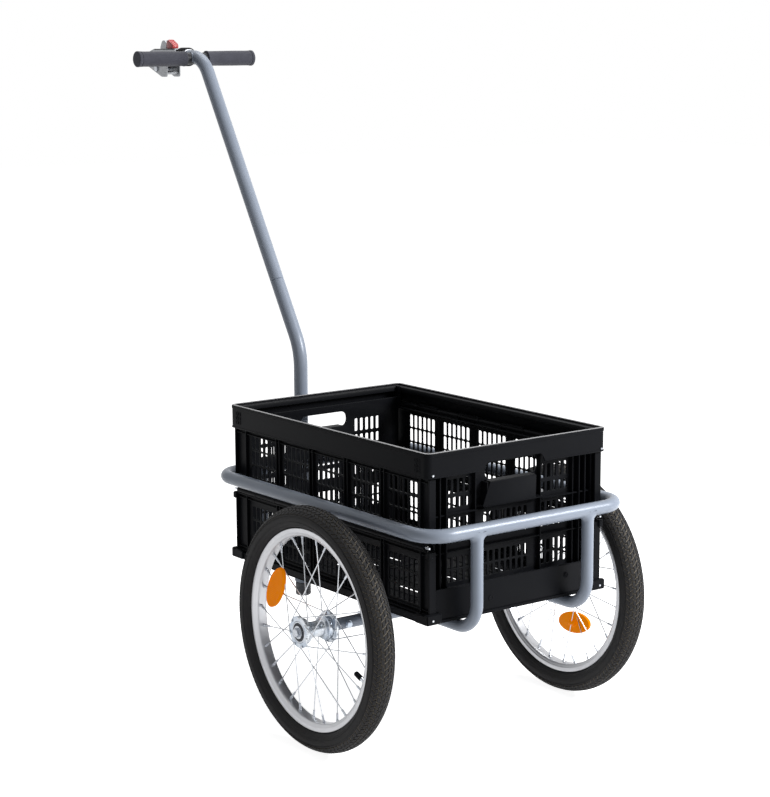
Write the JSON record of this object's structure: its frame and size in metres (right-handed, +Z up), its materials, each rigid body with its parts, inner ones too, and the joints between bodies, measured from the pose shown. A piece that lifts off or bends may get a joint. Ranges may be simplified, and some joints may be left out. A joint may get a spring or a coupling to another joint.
{
  "type": "bike cargo trailer",
  "caption": "Two-wheeled bicycle cargo trailer: tube frame, folding openwork box, cranked tow pole with hand grips and a latch coupling.",
  "frame": {"origin": "on the ground, in the middle of the trailer's width and length", "axes": "+X across to the trailer's right, +Y forward to the coupling, +Z up"},
  "size_m": [0.5966, 1.1514, 1.1333],
  "materials": {
    "frame_paint": "satin",
    "zinc": "satin",
    "bright_steel": "polished",
    "rim_alloy": "satin",
    "tyre": "matt",
    "bar_black": "satin",
    "grip": "matt",
    "grey_plastic": "matt",
    "black_plastic": "satin",
    "amber_lens": "gloss",
    "red_plastic": "satin"
  },
  "bodies": {
    "frame": {"ring_tube": "frame_paint", "left_rail": "frame_paint", "right_rail": "frame_paint", "rear_cross_plate": "frame_paint", "front_cross_plate": "frame_paint", "front_cross_tube": "frame_paint", "axle_tube": "frame_paint", "pole_socket": "frame_paint", "socket_bolt": "zinc", "left_stub_axle": "zinc", "right_stub_axle": "zinc", "left_axle_bolt": "zinc", "right_axle_bolt": "zinc", "left_end_screw": "bright_steel", "right_end_screw": "bright_steel", "lower_pole": "frame_paint", "upper_pole": "frame_paint", "pole_joint_bolt": "zinc", "foot_cap": "grey_plastic", "handlebar": "bar_black", "left_grip": "grip", "right_grip": "grip", "coupling_housing": "zinc", "jaw_pin": "bright_steel", "latch_spring": "bright_steel", "coupling_boot": "black_plastic", "coupling_bolt": "zinc"},
    "left_wheel": {"left_tyre": "tyre", "left_rim": "rim_alloy", "left_spoked_hub": "zinc", "left_outer_bearing": "bright_steel", "left_inner_bearing": "bright_steel", "left_reflector": "amber_lens", "left_valve": "black_plastic"},
    "right_wheel": {"right_tyre": "tyre", "right_rim": "rim_alloy", "right_spoked_hub": "zinc", "right_outer_bearing": "bright_steel", "right_inner_bearing": "bright_steel", "right_reflector": "amber_lens", "right_valve": "black_plastic"},
    "box": {"base_tray": "black_plastic", "top_frame": "black_plastic", "left_lower_side": "black_plastic", "left_upper_side": "black_plastic", "left_base_hinge_rod": "bright_steel", "left_middle_hinge_rod": "bright_steel", "left_top_hinge_rod": "bright_steel", "right_lower_side": "black_plastic", "right_upper_side": "black_plastic", "right_base_hinge_rod": "bright_steel", "right_middle_hinge_rod": "bright_steel", "right_top_hinge_rod": "bright_steel"},
    "rear_panel": {"rear_end_panel": "black_plastic"},
    "front_panel": {"front_end_panel": "black_plastic"},
    "jaw": {"latch_jaw": "zinc"},
    "slider": {"release_slider": "red_plastic"}
  },
  "joints": [
    {"name": "left_wheel_spin", "type": "hinge", "parent": "frame", "child": "left_wheel", "pos_m": [-0.2615, -0.34198, 0.2], "axis": [1, 0, 0], "continuous": true},
    {"name": "right_wheel_spin", "type": "hinge", "parent": "frame", "child": "right_wheel", "pos_m": [0.2615, -0.34198, 0.2], "axis": [1, 0, 0], "continuous": true},
    {"name": "box_lift", "type": "slide", "parent": "frame", "child": "box", "axis": [0, 0, 1], "range_m": [0, 0.3]},
    {"name": "rear_panel_fold", "type": "hinge", "parent": "box", "child": "rear_panel", "pos_m": [0, -0.51898, 0.4749], "axis": [1, 0, 0], "range_deg": [0, 88]},
    {"name": "front_panel_fold", "type": "hinge", "parent": "box", "child": "front_panel", "pos_m": [0, 0.00202, 0.4749], "axis": [-1, 0, 0], "range_deg": [0, 88]},
    {"name": "release_slide", "type": "slide", "parent": "frame", "child": "slider", "axis": [0, -1, 0], "range_m": [0, 0.008], "stiffness_N_per_m": 300, "springref_m": -0.01},
    {"name": "jaw_turn", "type": "hinge", "parent": "frame", "child": "jaw", "pos_m": [0, 0.53002, 1.074], "axis": [1, 0, 0], "range_deg": [0, 9.3]}
  ],
  "couplings": [
    {"joint": "jaw_turn", "follows": "release_slide", "rad_per_m": 20}
  ]
}
